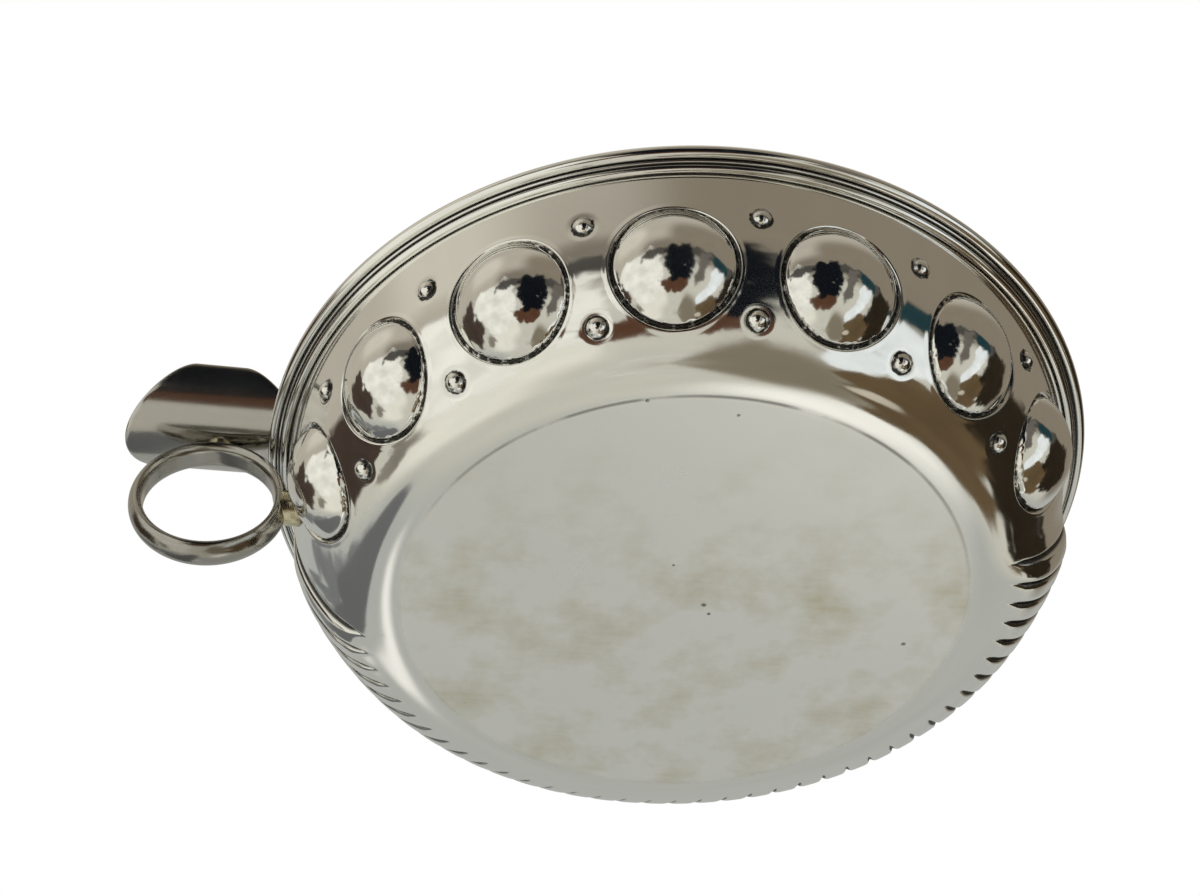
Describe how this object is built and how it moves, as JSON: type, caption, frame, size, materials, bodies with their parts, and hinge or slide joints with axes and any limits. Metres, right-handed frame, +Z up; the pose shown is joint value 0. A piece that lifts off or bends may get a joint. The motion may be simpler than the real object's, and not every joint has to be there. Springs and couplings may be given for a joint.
{
  "type": "tastevin",
  "caption": "Shallow round silver wine taster with an embossed bowl, a reeded rim, and a finger ring under a thumb rest.",
  "frame": {"origin": "centre of the underside of the flat base, which lies on z = 0", "axes": "+Z up along the bowl's axis, handle along -X, domes towards -Y and flutes towards +Y"},
  "size_m": [0.1291, 0.11, 0.0295],
  "materials": {
    "silver": "polished, lightly worn",
    "solder": "satin, slightly yellow"
  },
  "bodies": {
    "root": {"bowl": "silver", "rim_moulding": "silver", "finger_ring": "silver", "thumb_rest": "silver", "ring_solder": "solder", "thumb_solder": "solder", "bridge_solder": "solder"}
  },
  "joints": []
}
